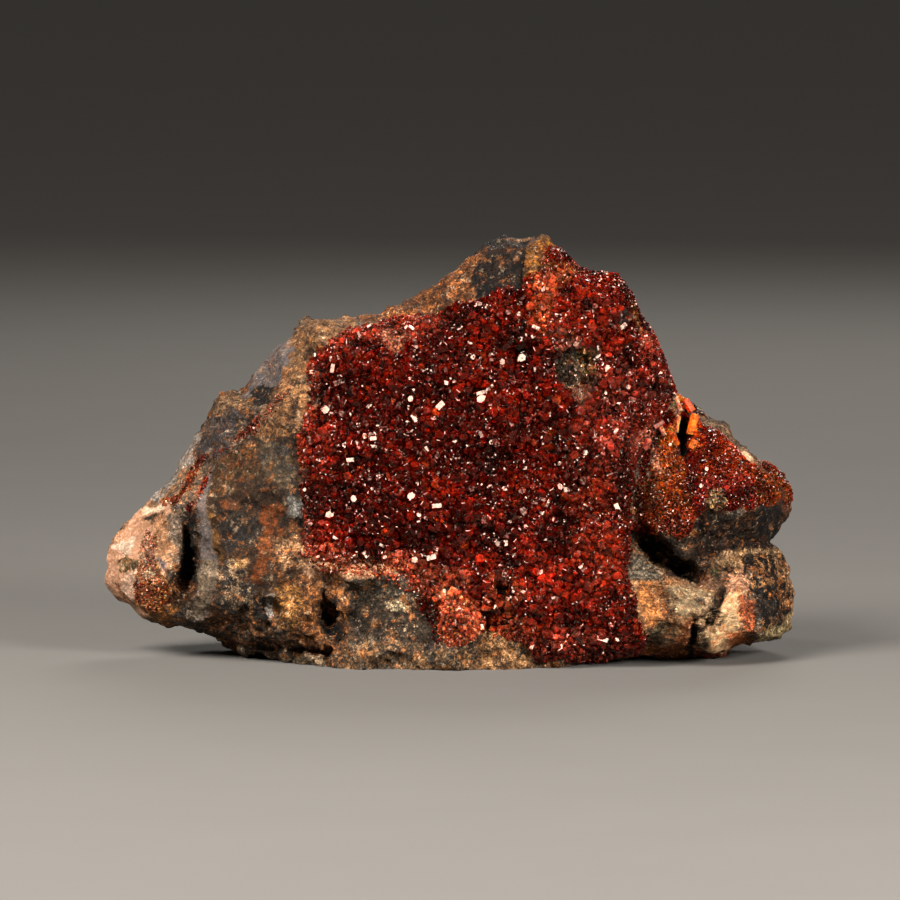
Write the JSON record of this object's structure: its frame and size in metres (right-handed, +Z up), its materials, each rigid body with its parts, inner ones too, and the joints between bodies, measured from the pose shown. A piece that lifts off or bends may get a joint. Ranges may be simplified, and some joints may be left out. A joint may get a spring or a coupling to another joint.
{
  "type": "vanadinite specimen",
  "caption": "Hand-sized mineral specimen: a crust of glassy red hexagonal crystals over the front of an iron-stained broken rock, sawn flat underneath.",
  "frame": {"origin": "on the ground, under the middle of the specimen's bounding box", "axes": "+X along the crystal face to the right of someone who looks at it, +Y to the back, +Z up; the crystal face looks to -Y"},
  "size_m": [0.1106, 0.048, 0.0667],
  "materials": {
    "rock": "rough broken rock, grey to rusty brown with tan patches",
    "red_crystal": "deep red, glassy to resinous crystal faces, slightly translucent",
    "red_orange_crystal": "fine red and orange druse, glassy",
    "red_brown_crystal": "fine red-brown druse, glassy"
  },
  "bodies": {
    "root": {"matrix": "rock", "main_crust": "red_crystal", "lobe_druse": "red_orange_crystal", "upper_ridge_druse": "red_brown_crystal", "lower_ridge_druse": "red_brown_crystal", "knob_druse": "red_brown_crystal"}
  },
  "joints": []
}
